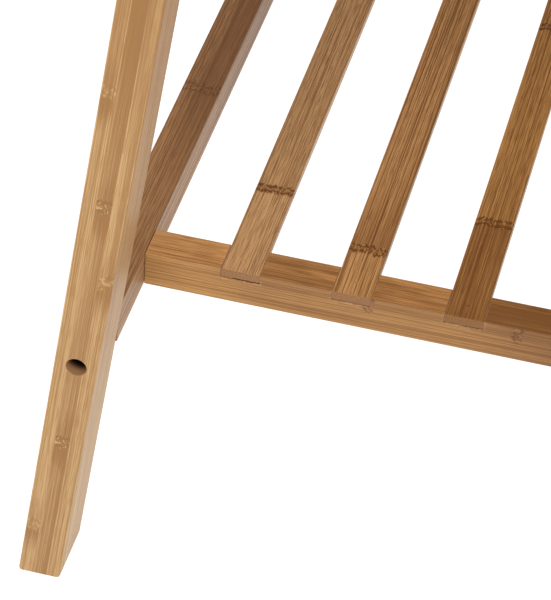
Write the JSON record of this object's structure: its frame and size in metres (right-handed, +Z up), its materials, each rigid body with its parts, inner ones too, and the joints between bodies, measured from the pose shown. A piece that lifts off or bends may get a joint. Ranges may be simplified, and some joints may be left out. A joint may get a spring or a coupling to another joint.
{
  "type": "entryway bench",
  "caption": "Low bamboo bench with splayed legs, a slatted seat and an open slatted shoe shelf near the floor.",
  "frame": {"origin": "on the floor under the middle of the bench", "axes": "+X along the bench to its right end, +Y from the front to the back, +Z up"},
  "size_m": [0.9, 0.3496, 0.45],
  "materials": {
    "leg_bamboo": "clear-lacquered laminated bamboo, light honey, satin",
    "rail_bamboo": "clear-lacquered bamboo, mid brown, satin",
    "slat_bamboo": "clear-lacquered single-strip bamboo, warm brown, satin",
    "seat_bamboo": "clear-lacquered laminated bamboo, honey, satin",
    "zinc_steel": "zinc plated"
  },
  "bodies": {
    "root": {"barrel_nut_seat_back_left": "zinc_steel", "barrel_nut_seat_back_right": "zinc_steel", "barrel_nut_seat_front_left": "zinc_steel", "barrel_nut_seat_front_right": "zinc_steel", "barrel_nut_shelf_back_left": "zinc_steel", "barrel_nut_shelf_back_right": "zinc_steel", "barrel_nut_shelf_front_left": "zinc_steel", "barrel_nut_shelf_front_right": "zinc_steel", "batten_screw_1_back": "zinc_steel", "batten_screw_1_front": "zinc_steel", "batten_screw_2_back": "zinc_steel", "batten_screw_2_front": "zinc_steel", "bolt_seat_back_left": "zinc_steel", "bolt_seat_back_right": "zinc_steel", "bolt_seat_front_left": "zinc_steel", "bolt_seat_front_right": "zinc_steel", "bolt_shelf_back_left": "zinc_steel", "bolt_shelf_back_right": "zinc_steel", "bolt_shelf_front_left": "zinc_steel", "bolt_shelf_front_right": "zinc_steel", "brad_left_slat_1": "zinc_steel", "brad_left_slat_2": "zinc_steel", "brad_left_slat_3": "zinc_steel", "brad_left_slat_4": "zinc_steel", "brad_middle_slat_1": "zinc_steel", "brad_middle_slat_2": "zinc_steel", "brad_middle_slat_3": "zinc_steel", "brad_middle_slat_4": "zinc_steel", "brad_right_slat_1": "zinc_steel", "brad_right_slat_2": "zinc_steel", "brad_right_slat_3": "zinc_steel", "brad_right_slat_4": "zinc_steel", "leg_back_left": "leg_bamboo", "leg_back_right": "leg_bamboo", "leg_front_left": "leg_bamboo", "leg_front_right": "leg_bamboo", "seat_batten_1": "leg_bamboo", "seat_batten_2": "leg_bamboo", "seat_rail_back": "leg_bamboo", "seat_rail_front": "leg_bamboo", "seat_slat_1": "seat_bamboo", "seat_slat_2": "seat_bamboo", "seat_slat_3": "seat_bamboo", "seat_slat_4": "seat_bamboo", "seat_slat_5": "seat_bamboo", "seat_slat_6": "seat_bamboo", "shelf_cross_rail_left": "rail_bamboo", "shelf_cross_rail_middle": "rail_bamboo", "shelf_cross_rail_right": "rail_bamboo", "shelf_rail_back": "rail_bamboo", "shelf_rail_front": "rail_bamboo", "shelf_slat_1": "slat_bamboo", "shelf_slat_2": "slat_bamboo", "shelf_slat_3": "slat_bamboo", "shelf_slat_4": "slat_bamboo", "top_bar_left": "leg_bamboo", "top_bar_right": "leg_bamboo"}
  },
  "joints": []
}
